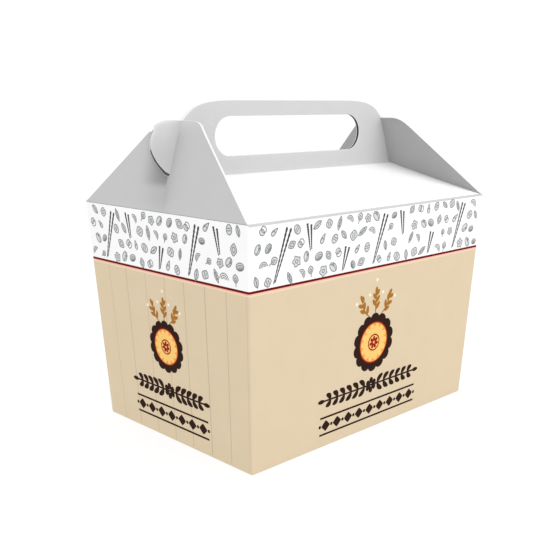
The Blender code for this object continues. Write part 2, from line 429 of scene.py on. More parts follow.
# %% Carry a two-ply profile round the hand hole
SHOULDER_START, SHOULDER_FOOT = 0.0480, 0.1859
SHOULDER_PULLS = (0.0280, 0.0100)
SHOULDER_SLOPE = math.radians(46)
ROOT_POINTS, END_POINTS, SHOULDER_POINTS, TOP_EDGE_POINTS = 30, 16, 28, 20
INTO_FLAP, FOOT_INTO_FLAP = 0.0015, 0.0018
CUT_ROUND, INNER_ROUND = 0.00014, (0.0002, 0.0001)
PLY = 0.00034
HOLE_GAP, OUTER_GAP = 0.0045, 0.0004
RIDGE_FLARE, RIDGE_SPREAD = 0.0016, 0.0005
FACE_STEPS = 14


def cubic(controls, steps):
    """A cubic Bezier curve: control points weighted by (1-t)^3, 3t(1-t)^2, 3t^2(1-t) and t^3."""
    part = np.linspace(0.0, 1.0, steps)[:, None]
    rest = 1.0 - part
    weights = np.concatenate((rest**3, 3 * part * rest**2, 3 * part**2 * rest, part**3), axis=1)
    return weights @ np.asarray(controls, float)


def straight(start, end, steps):
    """Evenly spaced points from start to end."""
    part = np.linspace(0.0, 1.0, steps)[:, None]
    return np.asarray(start) * (1.0 - part) + np.asarray(end) * part


foot_x = end_reach(SHOULDER_FOOT, FOOT_INTO_FLAP)
root_x = end_reach(HANDLE_ROOT, INTO_FLAP)
pull = SHOULDER_PULLS[1] * np.array((-math.cos(SHOULDER_SLOPE), math.sin(SHOULDER_SLOPE)))
shoulder = cubic(
    (
        (foot_x, SHOULDER_FOOT),
        (foot_x + pull[0], SHOULDER_FOOT + pull[1]),
        (SHOULDER_START + SHOULDER_PULLS[0], HANDLE_TOP),
        (SHOULDER_START, HANDLE_TOP),
    ),
    SHOULDER_POINTS,
)
right_half = np.concatenate(
    (
        straight((0.0, HANDLE_ROOT), (root_x, HANDLE_ROOT), ROOT_POINTS)[:-1],
        straight((root_x, HANDLE_ROOT), (foot_x, SHOULDER_FOOT), END_POINTS)[:-1],
        shoulder[:-1],
        straight((SHOULDER_START, HANDLE_TOP), (0.0, HANDLE_TOP), TOP_EDGE_POINTS)[:-1],
    )
)
left_half = np.concatenate((right_half[:1], right_half[:0:-1])) * (-1.0, 1.0)
top_middle = np.array(((0.0, HANDLE_TOP),))
outer = np.concatenate((right_half, top_middle, left_half[1:]))
centre_x = np.clip(outer[:, 0], HOLE_RADIUS - HOLE_HALF_LENGTH, HOLE_HALF_LENGTH - HOLE_RADIUS)
spine = np.stack((centre_x, np.full(len(outer), HOLE_MIDDLE)), axis=1)
ray = unit_vectors(outer - spine)
inner = spine + HOLE_RADIUS * ray

thick = HANDLE_HALF_THICKNESS


def ply_edge(gap):
    """One board's edge as (in from the edge, depth): out of the gap, round the cut, onto the face."""
    loose = thick - PLY
    steps = [(gap, 0.0), (gap, loose), (gap * 0.5, loose)]
    steps += [(INNER_ROUND[0], loose), (0.0, loose + INNER_ROUND[1])]
    steps += [(0.0, thick - CUT_ROUND), (CUT_ROUND * 0.3, thick - CUT_ROUND * 0.3)]
    return [*steps, (CUT_ROUND, thick)]


rings = [(inner + ray * move, np.full(len(outer), depth)) for move, depth in ply_edge(HOLE_GAP)]
for part in np.linspace(0.0, 1.0, FACE_STEPS)[1:-1]:
    rings.append((inner + (outer - inner) * part, np.full(len(outer), thick)))
for move, depth in ply_edge(OUTER_GAP)[::-1]:
    rings.append((outer - ray * move, np.full(len(outer), depth)))
back_rings = [(flat, -depth) for flat, depth in rings[-2:0:-1]]
flat = np.stack([ring[0] for ring in rings + back_rings], axis=1)
depth = np.stack([ring[1] for ring in rings + back_rings], axis=1)
flare = np.clip((RIDGE_HEIGHT + RIDGE_FLARE - flat[..., 1]) / RIDGE_FLARE, 0.0, 2.0) ** 2
depth = depth + np.sign(depth) * flare * RIDGE_SPREAD
handle_grid = np.stack((flat[..., 0], -depth, flat[..., 1]), axis=-1)
GAP_COLUMNS, CUT_COLUMNS = 3, 4
face_columns = len(rings) - 1 - 2 * (GAP_COLUMNS + CUT_COLUMNS)
# The gap between the plies at the hole takes the dark painted shade board, as the shade in that gap.
half_slots = [2] * GAP_COLUMNS + [1] * CUT_COLUMNS + [0] * face_columns
half_slots += [1] * (CUT_COLUMNS + GAP_COLUMNS)
column_slot = np.array(half_slots + half_slots[::-1])
slots = np.tile(column_slot, len(handle_grid))
faces = tube(handle_grid, close_rows=True)
put_mesh("handle", handle_grid, faces, [GREY, CUT, PAINTED_SHADE_BOARD], slots)

# %% [markdown]
# ## The end flaps
#
# Each end wall carries a flap: a triangle with its point cut off, leaning in until it rests on the
# handle. It is two boards thick. Half a moon is cut into the outer board's back half and creased a
# little in front of the middle, so that it stands out; the lining in the cut is painted dark as shade.
# Every one of these is a ruled surface: each point of a lower line is joined to its partner on the cut
# edge, and the board's thickness is carried round that strip. The cut edge shows the white core,
# except along the crease and the slit, where it is painted dark as shade.

# %% Places on a leaning flap
FOLD_GAP = 0.00025
OUTER_BOARD = (0.0, 0.0010)
LINING_BOARD = (0.00102, FLAP_THICKNESS)
TOP_BEND, TOP_BEND_START = 0.0012, 0.0440
CREASE_FOOT, CREASE_TOP = -0.0033, -0.0024
GAP_PLACES = (0.0, 0.12, 1.0)
DENT, DENT_REACH, DENT_PLACE, DENT_RISE = 0.0010, 0.008, (0.022, 0.008), (0.0, 0.006)
TAB_START = (TAB_FOOT, CREASE_FOOT + 0.0011)
TAB_CURVE = (TAB_START, (0.0233, 0.0066), (0.0336, 0.0264), (TAB_TOP, 0.0214))


def ramp(value, start, length):
    """From 0 at the start to 1 one length further on; it falls for a negative length."""
    return np.clip((value - start) / length, 0.0, 1.0)


def flap_place(side, slant, across, depth):
    """Slant up the flap's face from its fold, across it, and depth into its board, as x, y, z."""
    out = TOP_HALF[0] - SKIN - slant * math.sin(FLAP_LEAN) - depth * math.cos(FLAP_LEAN)
    up = WALL_HEIGHT + slant * math.cos(FLAP_LEAN) - depth * math.sin(FLAP_LEAN)
    return np.stack((side * out, across, up), axis=-1)


def flap_half_width(slant):
    """Half the flap's width: its sides run straight to one point."""
    return FLAP_HALF * (1.0 - np.asarray(slant) / FLAP_POINT)


def top_bend(slant):
    """How far the flap's top curls in over the handle: the square of the way above a line."""
    return TOP_BEND * ramp(slant, TOP_BEND_START, FLAP_TOP - TOP_BEND_START) ** 2


def past_crease(slant, across):
    """How far a place lies behind the crease, which runs straight up the flap at a slight tilt."""
    share = (slant - TAB_FOOT) / (FLAP_TOP - TAB_FOOT)
    return across - CREASE_FOOT - (CREASE_TOP - CREASE_FOOT) * share


def pressed_in(slant, across):
    """The flap's face below its plane: the curl at the top, and a dent where the tab was pushed."""
    up, aside = (slant - DENT_PLACE[0]) / DENT_REACH, (across - DENT_PLACE[1]) / DENT_REACH
    dent = DENT * np.exp(-(up**2 + aside**2)) * ramp(past_crease(slant, across), *DENT_RISE)
    return top_bend(slant) + dent


def flap_corner(steps):
    """The rounded top corner, from the slanting side to the flat top, as slant and across."""
    side_angle = math.atan2(FLAP_HALF, FLAP_POINT)
    turn = np.linspace(side_angle, math.pi / 2, steps)
    centre_slant = FLAP_TOP - FLAP_CORNER
    centre_across = flap_half_width(centre_slant) - FLAP_CORNER / math.cos(side_angle)
    slant = centre_slant + FLAP_CORNER * np.sin(turn)
    across = centre_across + FLAP_CORNER * np.cos(turn)
    return np.stack((slant, across), axis=1)


def tab_curve(steps, gaps=(0.0, 0.0, 0.0)):
    """The half moon's cut edge, from its foot by the crease to the flap's back side.

    It is drawn in square to itself by gaps, which are those at its foot, a little above and at its top.
    """
    line = cubic(TAB_CURVE, steps)
    left = left_of(unit_vectors(np.gradient(line, axis=0)))
    gap = np.interp(np.linspace(0.0, 1.0, steps), GAP_PLACES, gaps)
    line = line - left * gap[:, None]
    return np.stack((line[:, 0], np.maximum(line[:, 1], CREASE_FOOT)), axis=1)


print("flap half width at its top", round(float(flap_half_width(FLAP_TOP)), 4))

# %% Painted shade and light on the flaps


def beside(line, strengths, slant, across, reach):
    """A tone beside a line of places: each place's strength times exp(-distance / reach)."""
    distance = np.hypot(slant[..., None] - line[:, 0], across[..., None] - line[:, 1])
    return (strengths * np.exp(-distance / reach)).max(axis=-1)


# Painted shade along the crease and below the cut, and painted light at the flap's top and at the tab's
# top and rim.
VALLEY_FRONT, VALLEY_BACK, CREASE_LINE = (0.22, 0.0060), (0.15, 0.016), (0.07, 0.0015)
PATCH, PATCH_WIDTH, PATCH_LOW, PATCH_SOFTNESS = 0.36, 0.0213, 0.0153, 0.0009
CUT_SHADE, CUT_SHADE_REACH, CUT_POINTS = 0.16, 0.0018, 32
TAB_SHADE, TAB_SHADE_REACH, TAB_TONE = 0.11, 0.007, 0.015
TAB_LIGHT, EDGE_LIGHT, EDGE_LIGHT_REACH = 0.16, (0.06, 0.42), 0.0013
TIP_LIGHT, INSIDE_SHADE = 0.05, 0.05
# Where a tone sets in, and over what length, up the flap and across it.
VALLEY_RISE, VALLEY_FALL, TIP_RISE = (-0.004, 0.012), (0.0500, -0.008), (0.047, 0.005)
TAB_LIGHT_UP, EDGE_LIGHT_UP = (0.033, 0.012), (0.030, 0.016)
PATCH_ACROSS, TAB_LIGHT_ACROSS = (0.0006, 0.0012), (0.002, 0.010)
EDGE_LIGHT_ACROSS, INSIDE_ACROSS = (0.0, 0.012), (0.010, 0.025)


def painted_flap_shading(slant, across):
    """Painted shade on the flap: a valley along the crease and a painted shadow below the cut, with
    painted light at its top.

    The valley is exp(-d / reach) in front of the crease and 1 / (1 + (d / reach)^3) behind it.
    """
    behind = past_crease(slant, across)
    front = VALLEY_FRONT[0] * np.exp(behind / VALLEY_FRONT[1])
    back = VALLEY_BACK[0] / (1.0 + (behind / VALLEY_BACK[1]) ** 3)
    back = back + CREASE_LINE[0] * np.exp(-behind / CREASE_LINE[1])
    valley = np.where(behind < 0.0, front, back) * ramp(slant, *VALLEY_RISE) * ramp(slant, *VALLEY_FALL)
    patch = PATCH * np.exp(-((behind / PATCH_WIDTH) ** 4))
    patch = patch / (1.0 + np.exp((PATCH_LOW - slant) / PATCH_SOFTNESS))
    strengths = np.linspace(1.0, 0.6, CUT_POINTS)
    patch = patch + CUT_SHADE * beside(tab_curve(CUT_POINTS), strengths, slant, across, CUT_SHADE_REACH)
    return valley + patch * ramp(behind, *PATCH_ACROSS) - TIP_LIGHT * ramp(slant, *TIP_RISE)


def painted_tab_light(slant, across):
    """Painted shade and light on the tab: shade at the crease, painted light towards its top, a painted
    highlight along its free edge.
    """
    behind = past_crease(slant, across)
    top_light = TAB_LIGHT * ramp(slant, *TAB_LIGHT_UP) ** 1.3
    top_light = top_light * (0.35 + 0.65 * ramp(behind, *TAB_LIGHT_ACROSS))
    rim = ramp(free_edge[:, 0], *EDGE_LIGHT_UP) * ramp(free_edge[:, 1], *EDGE_LIGHT_ACROSS)
    strengths = EDGE_LIGHT[0] + EDGE_LIGHT[1] * rim
    edge_light = beside(free_edge, strengths, slant, across, EDGE_LIGHT_REACH)
    return TAB_SHADE * np.exp(-behind / TAB_SHADE_REACH) - TAB_TONE - top_light - edge_light


def plain_tone(slant, across):
    """A board with no painted shade or light."""
    return np.zeros(slant.shape)


def painted_inside_shade(slant, across):
    """Painted shade on the flap's inner face: a little darker away from its middle, where it gets more
    light.
    """
    return INSIDE_SHADE * ramp(np.abs(across), *INSIDE_ACROSS)


print("the patch below the cut is darker by", PATCH, "and its cut edge by", CUT_SHADE)

# %% Carry a board's thickness round a strip
RISE_STEPS, RISE_POWER = 19, 1.6
EDGE_ROUND = ((1.0, 0.0), (0.62, 0.08), (0.29, 0.29), (0.08, 0.62), (0.0, 1.0))
INNER_BEVEL, LARGEST_ROUND = 0.0001, 0.3
ON_FACE, ON_EDGE, ON_REVERSE, ON_CREASE = range(4)


def board_strip(side, lower, upper, sink, board, edge_round):
    """Loops of a board between two matched lines: up the outer face, over the edge, down the inner.

    lower and upper hold slant and across, board holds the two faces' depths, and sink(slant, across)
    presses both faces in. The edge is rounded by edge_round, which may differ from row to row.
    """
    front, back = board
    reach = upper - lower
    length = np.linalg.norm(reach, axis=1, keepdims=True)
    unit = unit_vectors(reach)
    curl = np.broadcast_to(np.asarray(edge_round, float).reshape(-1, 1), length.shape)
    curl = np.minimum(curl, LARGEST_ROUND * length)
    part = 1.0 - (1.0 - np.linspace(0.0, 1.0, RISE_STEPS)[:-1, None, None]) ** RISE_POWER
    rise = lower + (reach - unit * curl) * part
    edge = [(upper - unit * curl * share, curl[:, 0] * drop) for share, drop in EDGE_ROUND]
    full = np.full(len(upper), back - front)
    edge += [(upper, full - INNER_BEVEL), (upper - unit * INNER_BEVEL, full)]
    flat = [*rise, *(line for line, _ in edge), *rise[::-1]]
    deep = [np.zeros(len(upper))] * len(rise) + [depth for _, depth in edge] + [full] * len(rise)
    flat = np.stack(flat, axis=1)
    deep = front + np.stack(deep, axis=1) + sink(flat[..., 0], flat[..., 1])
    kinds = np.full(flat.shape[1], ON_REVERSE)
    kinds[: len(rise)] = ON_FACE
    kinds[len(rise) : len(rise) + len(edge) - 1] = ON_EDGE
    return flap_place(side, flat[..., 0], flat[..., 1], deep), kinds, flat


def strip_slots(kinds, edge_slots):
    """Face slots by column, with each row's own slot where it turns over its edge, and the two ends."""
    rows = np.where(kinds == ON_EDGE, edge_slots[:, None], kinds)
    return np.concatenate((rows.ravel(), edge_slots[[0, -1]]))


def flap_board(name, side, lower, upper, sink, board, rounding, edge_slots, tone=plain_tone):
    """One board of a flap as a piece."""
    loops, kinds, flat = board_strip(side, lower, upper, sink, board, rounding)
    slots = strip_slots(kinds, edge_slots)
    # The lining's face is the dark painted shade board, seen only through the cut.
    finishes = [PAINTED_SHADE_BOARD if board is LINING_BOARD else FLAP_GREY, CUT, GREY_REVERSE_AND_SHADE, PAINTED_CUT_SHADE]
    full_name = f"{name}_{side_names[side]}"
    # Painted shade and light on the board's face, none on its edges, and painted shade on its reverse.
    painted_shading = tone(flat[..., 0], flat[..., 1])
    painted_shading[:, kinds == ON_EDGE] = 0.0
    reverse = kinds == ON_REVERSE
    painted_shading[:, reverse] = painted_inside_shade(flat[:, reverse, 0], flat[:, reverse, 1])
    put_mesh(full_name, loops, tube(loops), finishes, slots, painted_shading=painted_shading)


side_names = {-1: "left", 1: "right"}
print("each board is a strip of", 2 * (RISE_STEPS - 1) + len(EDGE_ROUND) + 2, "columns")

# %% Cut and place the flaps' outer boards and linings
FRONT_STEPS, CORNER_POINTS, TOP_POINTS, TAB_STEPS = 24, 14, 9, 30
CREASE_POINTS, SMOOTH_CREASE = 22, 5
FLAP_GAPS = (0.0003, -0.0006, 0.0)
SIDE_ROUND, CREASE_ROUND, LINING_ROUND, TAB_ROUND = 0.00022, 0.0008, 0.0001, 0.0003
SMOOTH_ROUNDS, HAIR = (0.0001, 0.0006), 0.00001
corner = flap_corner(CORNER_POINTS)
front_corner = corner * (1.0, -1.0)
front_side = straight((0.0, -FLAP_HALF), front_corner[0], FRONT_STEPS)
to_crease = straight(front_corner[-1], (FLAP_TOP, CREASE_TOP), TOP_POINTS)
crease = straight((FLAP_TOP, CREASE_TOP), (TAB_FOOT, CREASE_FOOT), CREASE_POINTS)
back_side = straight((TAB_TOP, flap_half_width(TAB_TOP)), (0.0, FLAP_HALF), FRONT_STEPS)
cut_line = (front_side[:-1], front_corner[:-1], to_crease[:-1], crease[:-1])
outer_edge = np.concatenate((*cut_line, tab_curve(TAB_STEPS, FLAP_GAPS), back_side))
feet = ((-FLAP_HALF, -0.040), (-0.040, -0.030), (-0.030, -0.014), (-0.014, CREASE_FOOT))
foot_across = [np.linspace(*ends, len(line) + 1)[:-1] for ends, line in zip(feet, cut_line)]
foot_across += [np.linspace(CREASE_FOOT, 0.048, TAB_STEPS), np.linspace(0.0485, FLAP_HALF, FRONT_STEPS)]
foot_across = np.concatenate(foot_across)
outer_foot = np.stack((np.full(len(foot_across), FOLD_GAP), foot_across), axis=1)
outer_edge[:, 0] = np.maximum(outer_edge[:, 0], FOLD_GAP + HAIR)
crease_start = len(front_side) + len(front_corner) + len(to_crease) - 3
crease_end = crease_start + CREASE_POINTS - 1
# The cut edges along the crease and the slit get the dark painted shade.
outer_slots = np.full(len(outer_edge) - 1, ON_EDGE)
outer_slots[crease_start : crease_end + TAB_STEPS * 2 // 3] = ON_CREASE
smooth_part = slice(crease_start, crease_start + SMOOTH_CREASE)
outer_slots[smooth_part] = ON_FACE
rounding = np.full(len(outer_edge), SIDE_ROUND)
rounding[crease_start : crease_end + 1] = CREASE_ROUND
rounding[smooth_part] = np.linspace(*SMOOTH_ROUNDS, SMOOTH_CREASE)

to_middle = straight(front_corner[-1], (FLAP_TOP, 0.0), TOP_POINTS)
half_lining = np.concatenate((front_side[:-1], front_corner, to_middle[1:]))
lining_edge = np.concatenate((half_lining, half_lining[-2::-1] * (1.0, -1.0)))
lining_edge[:, 0] = np.maximum(lining_edge[:, 0], FOLD_GAP + HAIR)
lining_across = np.linspace(-FLAP_HALF, FLAP_HALF, len(lining_edge))
lining_foot = np.stack((np.full(len(lining_edge), FOLD_GAP), lining_across), axis=1)
lining_slots = np.full(len(lining_edge) - 1, ON_EDGE)
for side in (-1, 1):
    outer_lines, lining_lines = (outer_foot, outer_edge), (lining_foot, lining_edge)
    flap_board("flap", side, *outer_lines, pressed_in, OUTER_BOARD, rounding, outer_slots, painted_flap_shading)
    flap_board("lining", side, *lining_lines, pressed_in, LINING_BOARD, LINING_ROUND, lining_slots)

# %% [markdown]
# ## The half-moon tabs
#
# The tab is cut from the flap's own back corner and stays joined along the crease. Pushed out by a
# finger, it curls, so its free edge stands further off the flap than a flat hinge would put it.

# %% Curl the two tabs off their flaps
TAB_LIFT, TAB_WIDTH = 0.0010, 0.023
TAB_GAPS = (0.0014, 0.0009, 0.0015)
DARK_TAB_POINTS, TAB_TOP_POINTS = 8, 10
TAB_FOOT_SHIFT = (-0.00005, 0.00002)


def curled_out(slant, across):
    """The tab off its flap: it rises with the square of the way from the crease."""
    rise = TAB_LIFT * (np.maximum(past_crease(slant, across), 0.0) / TAB_WIDTH) ** 2
    return top_bend(slant) - rise


back_corner = corner[corner[:, 0] > TAB_TOP]
free_edge = np.concatenate(
    (
        tab_curve(TAB_STEPS, TAB_GAPS),
        back_corner,
        straight(back_corner[-1], (FLAP_TOP, CREASE_TOP), TAB_TOP_POINTS)[1:],
    )
)
tab_foot = (free_edge[0, 0] + TAB_FOOT_SHIFT[0], CREASE_FOOT + TAB_FOOT_SHIFT[1])
crease_line = straight(tab_foot, (FLAP_TOP, CREASE_TOP), len(free_edge))
tab_slots = np.full(len(free_edge) - 1, ON_EDGE)
# Near its foot the tab's cut edge is painted dark as shade.
tab_slots[:DARK_TAB_POINTS] = ON_CREASE
for side in (-1, 1):
    tab_lines = (crease_line, free_edge)
    flap_board("tab", side, *tab_lines, curled_out, OUTER_BOARD, TAB_ROUND, tab_slots, painted_tab_light)

# %% [markdown]
# ## Ink on the walls
#
# The print on a carton is a film of ink a few thousandths of a millimetre thick. It could be an image,
# but here each line is drawn as a very thin closed strip that follows the wall, so its edge stays
# sharp from any distance. A line is a row of points across and up a wall; its two sides are found with
# mitred normals, so round curls and square corners both keep their width.

# %% Lay ink on a wall
INK_LIFT, INK_SINK = 0.00004, 0.00006
WALL_ALONG = np.array(((1.0, 0.0), (0.0, 1.0), (-1.0, 0.0), (0.0, -1.0)))
WALL_OUT = np.array(((0.0, -1.0), (1.0, 0.0), (0.0, 1.0), (-1.0, 0.0)))
SHARPEST_MITRE = 0.35
PRINT_SMOOTH = 60.0


def half_length(wall, height):
    """Half of a wall's own length at a height."""
    return wall_half(height) @ np.abs(WALL_ALONG[wall])


def on_wall(wall, across, height, lift):
    """A place on wall 0 front, 1 right, 2 back or 3 left: across from its middle, up, and off it."""
    out = wall_half(height) @ np.abs(WALL_OUT[wall])
    out = out + swell(across / half_length(wall, height), height) + lift
    flat = WALL_ALONG[wall] * across[..., None] + WALL_OUT[wall] * out[..., None]
    return np.concatenate((flat, height[..., None]), axis=-1)


def ink_lines(wall, lines, width, lift=INK_LIFT):
    """Lines (count x points x 2) as strips: loops of four corners at each point of each line.

    At a point between two runs with unit normals a and b, the strip's side lies along
    (a + b) / (1 + a.b), which keeps its width through a corner.
    """
    normal = left_of(unit_vectors(np.diff(lines, axis=1)))
    before = np.concatenate((normal[:, :1], normal), axis=1)
    after = np.concatenate((normal, normal[:, -1:]), axis=1)
    level = np.maximum(1.0 + (before * after).sum(-1, keepdims=True), SHARPEST_MITRE)
    side = (before + after) / level * (np.asarray(width) / 2)[..., None]
    corners = np.stack((lines + side, lines - side, lines - side, lines + side), axis=2)
    lifts = np.array((lift, lift, -INK_SINK, -INK_SINK))
    return on_wall(wall, corners[..., 0], corners[..., 1], lifts)


def ink_fills(wall, outlines, lift):
    """Filled shapes (count x points x 2) as thin plates: their outline on top of the wall and in it."""
    across, height = outlines[..., 0], outlines[..., 1]
    return np.stack([on_wall(wall, across, height, depth) for depth in (lift, -INK_SINK)], axis=1)


def print_piece(name, parts, finishes):
    """One piece from parts laid one after the other, each (strips or plates, their finish)."""
    points, faces, slots, start = [], [], [], 0
    for part, finish in parts:
        part_faces = tubes(part, start)
        points.append(part.reshape(-1, 3))
        faces += part_faces
        slots += [finishes.index(finish)] * len(part_faces)
        start += len(points[-1])
    put_mesh(name, np.concatenate(points), faces, finishes, slots, PRINT_SMOOTH)


print("ink lies", round(1e6 * INK_LIFT), "micrometres off the wall")


# %% [markdown]
# ## The line ornament of the white band
#
# The white band is scattered with small line drawings, all of one size and one grey, with tall slender
# reeds in pairs between them. Here they are leaves, blossoms, drops, shells and pods, each a few curves
# of one parameter in a unit square, with a pale grey tone inside the closed ones. They are strewn on a
# staggered grid with a fixed random seed, and a drawing that would touch a tall reed is left out. A
# reed widens to its tip, and swells between its joints.

# %% Draw the small ornaments in a unit square
LINE_POINTS = 15
along = np.linspace(0.0, 1.0, LINE_POINTS)
angle = 2 * math.pi * along


def curve(x, y):
    """A curve from its two coordinates."""
    return np.stack(np.broadcast_arrays(x, y, along)[:2], axis=-1)


def oval(half_x, half_y, x=0.0, y=0.0, start=0.0, turns=1.0):
    """An ellipse or a piece of one; start and turns are in whole turns."""
    swing = 2 * math.pi * (start + turns * along)
    return curve(x + half_x * np.cos(swing), y + half_y * np.sin(swing))


def segment(x0, y0, x1, y1):
    """A straight line."""
    return curve(x0 + (x1 - x0) * along, y0 + (y1 - y0) * along)


def leaf_shape(width, reach, y=0.0):
    """A pointed leaf: half width times the square of the sine, along the cosine."""
    return curve(width * np.sin(angle) * np.abs(np.sin(angle)), y + reach * np.cos(angle))


def signed_power(value, power):
    """A power of a number's size, with the number's own sign."""
    return np.sign(value) * np.abs(value) ** power


def rounded(half_x, half_y, power):
    """A closed curve of a cosine and a sine to a power: a lozenge above 1, a cushion below it."""
    x, y = signed_power(np.cos(angle), power), signed_power(np.sin(angle), power)
    return curve(half_x * x, half_y * y)


# A blossom is a circle with five waves. A drop's half width is a sine times a power of another.
petals = 0.84 + 0.18 * np.cos(5 * angle)
drop_width = 0.62 * np.sin(angle) * np.sin(angle / 2) ** 1.4
DRAWINGS = (
    (leaf_shape(0.52, 1.1), segment(0, -1.0, 0, 0.8), oval(0.3, 0.5, 0.3, -0.4, 0.3, 0.2)),
    (curve(petals * np.cos(angle), petals * np.sin(angle)), oval(0.30, 0.30)),
    (curve(drop_width, np.cos(angle)), oval(0.28, 0.36, 0, -0.32, 0.05, 0.55)),
    [oval(size, size, 0, -0.35, 0.0, 0.5) for size in (1.0, 0.66, 0.32)],
    (rounded(0.72, 1.0, 1.5), rounded(0.36, 0.5, 1.5)),
    (rounded(0.82, 0.74, 0.6), segment(-0.5, -0.3, 0.1, 0.55), segment(-0.1, -0.55, 0.5, 0.25)),
    (oval(0.66, 1.0), oval(0.66, 1.0, -0.42, 0, -0.16, 0.32), oval(0.14, 0.14, 0.3, 0.3)),
    (oval(0.74, 0.95), segment(-0.5, -0.35, 0.5, -0.05), segment(-0.55, 0.1, 0.5, 0.42)),
    (leaf_shape(0.62, 0.72, 0.3), segment(0, -1.0, 0, -0.4), oval(0.2, 0.3, 0, 0.2)),
    (oval(0.5, 0.62, -0.3, 0), oval(0.5, 0.62, 0.3, 0)),
    (leaf_shape(0.45, 1.25), *(oval(0.15, 0.17, 0, rise) for rise in (-0.5, 0.0, 0.5))),
    (oval(0.9, 0.62), oval(0.62, 0.36, 0, -0.12), oval(0.3, 0.14, 0, -0.24)),
)
ORNAMENTS = [np.stack(drawing) for drawing in DRAWINGS]
OPEN_ORNAMENT = 3
print(len(ORNAMENTS), "ornaments,", sum(len(drawing) for drawing in ORNAMENTS), "curves")

# %% Strew the ornaments over the white band
BAND_LOW, BAND_HIGH = RED_HIGH, 0.1356
BAND_MARGIN, LOW_MARGIN, HIGH_MARGIN, ROWS = 0.0042, 0.0040, 0.0036, 4
ORNAMENT_STEP, ORNAMENT_SIZES = 0.0082, (0.0026, 0.0034)
JITTER, LARGEST_TURN = 0.0011, 1.1
LINE_WIDTH = 0.00060
REED_STEP, REED_MARGINS, REED_GAP = 0.0265, (0.017, 0.006), 0.0036
REED_LEANS, LEAN_HEIGHT = (0.0085, -0.0060, 0.0045), 0.029
REED_ENDS = ((0.0015, 0.0305), (0.0160, 0.0310), (0.0012, 0.0150))
PARTNER_FOOT, PARTNER_TIP = np.array((0.0010, 0.0006)), np.array((0.0030, -0.0008))
REED_POINTS, REED_JOINTS = 43, 11
REED_WIDTH, REED_SWELL = (0.0006, 0.0009), (0.62, 0.5)
KIND_STEP, ROW_KIND_STEP = 5, 3
chance = np.random.default_rng(21)


def tall_reeds(half_across):
    """Pairs of slender reeds: (foot, tip) of each, leaning one way and then the other."""
    reeds = []
    places = np.arange(REED_MARGINS[0] - half_across, half_across - REED_MARGINS[1], REED_STEP)
    for number, across in enumerate(places):
        low, high = REED_ENDS[number % 3]
        lean = REED_LEANS[number % 3] * ((high - low) / LEAN_HEIGHT)
        foot = np.array((across, BAND_LOW + low))
        tip = np.array((across + lean, BAND_LOW + high))
        reeds += [(foot, tip), (foot + PARTNER_FOOT, tip + PARTNER_TIP)]
    return np.array(reeds)


def clear_of(places, reeds):
    """True for places at least an ornament's half width from every reed."""
    foot, run = reeds[:, 0], reeds[:, 1] - reeds[:, 0]
    offset = places[:, None] - foot
    share = np.clip((offset * run).sum(-1) / (run * run).sum(-1), 0.0, 1.0)
    gap = np.linalg.norm(offset - share[..., None] * run, axis=-1)
    return (gap > REED_GAP).all(axis=1)


def strewn(wall, reeds):
    """Every ornament of a wall, placed, turned and sized: its curves, and its toned outline."""
    half_across = float(half_length(wall, BAND_LOW)) - BAND_MARGIN
    placed, toned = [], []
    for number, height in enumerate(np.linspace(BAND_LOW + LOW_MARGIN, BAND_HIGH - HIGH_MARGIN, ROWS)):
        start = -half_across + (number % 2) * ORNAMENT_STEP / 2
        columns = np.arange(start, half_across, ORNAMENT_STEP)
        shift = chance.uniform(-JITTER, JITTER, (len(columns), 2))
        places = np.stack((columns, np.full(len(columns), height)), axis=1) + shift
        places = places[clear_of(places, reeds) & (np.abs(places[:, 0]) < half_across)]
        kinds = np.arange(len(places)) * KIND_STEP + number * ROW_KIND_STEP + wall
        turns = chance.uniform(-LARGEST_TURN, LARGEST_TURN, len(places))
        sizes = chance.uniform(*ORNAMENT_SIZES, len(places))
        for place, kind, turn, size in zip(places, kinds % len(ORNAMENTS), turns, sizes):
            spin = np.array(((math.cos(turn), math.sin(turn)), (-math.sin(turn), math.cos(turn))))
            placed.append(ORNAMENTS[kind] @ spin * size + place)
            if kind != OPEN_ORNAMENT:
                toned.append(placed[-1][0, :-1])
    return np.concatenate(placed), np.array(toned)


reed_up = np.linspace(0.0, 1.0, REED_POINTS)
reed_swell = REED_SWELL[0] + REED_SWELL[1] * np.abs(np.sin(REED_JOINTS * math.pi * reed_up))
reed_width = (REED_WIDTH[0] + REED_WIDTH[1] * reed_up) * reed_swell
band_parts = []
for wall in range(4):
    reeds = tall_reeds(float(half_length(wall, BAND_LOW)))
    lines, outlines = strewn(wall, reeds)
    reed_lines = reeds[:, :1] + (reeds[:, 1:] - reeds[:, :1]) * reed_up[None, :, None]
    band_parts.append((ink_lines(wall, lines, LINE_WIDTH), LINE))
    band_parts.append((ink_fills(wall, outlines, 0.5 * INK_LIFT), PALE_LINE))
    band_parts.append((ink_lines(wall, reed_lines, reed_width[None], 1.4 * INK_LIFT), REED_LINE))
    print("wall", wall, len(lines), "curves,", len(outlines), "tones,", len(reeds), "reeds")
print_piece("band_ornament", band_parts, [LINE, PALE_LINE, REED_LINE])

# %% [markdown]
# ## The medallion and the border rows
#
# Each wall carries one large ornament in its middle, with two dark rows below it. The medallion is a
# plain rosette: rings of round petals over discs, with three sprigs of narrow leaves above. The rows
# are common border work: a garland of paired leaves, and lozenges and dots between two rules. Every
# shape is a filled outline from a short formula, laid one thin layer over the other, as inks are.

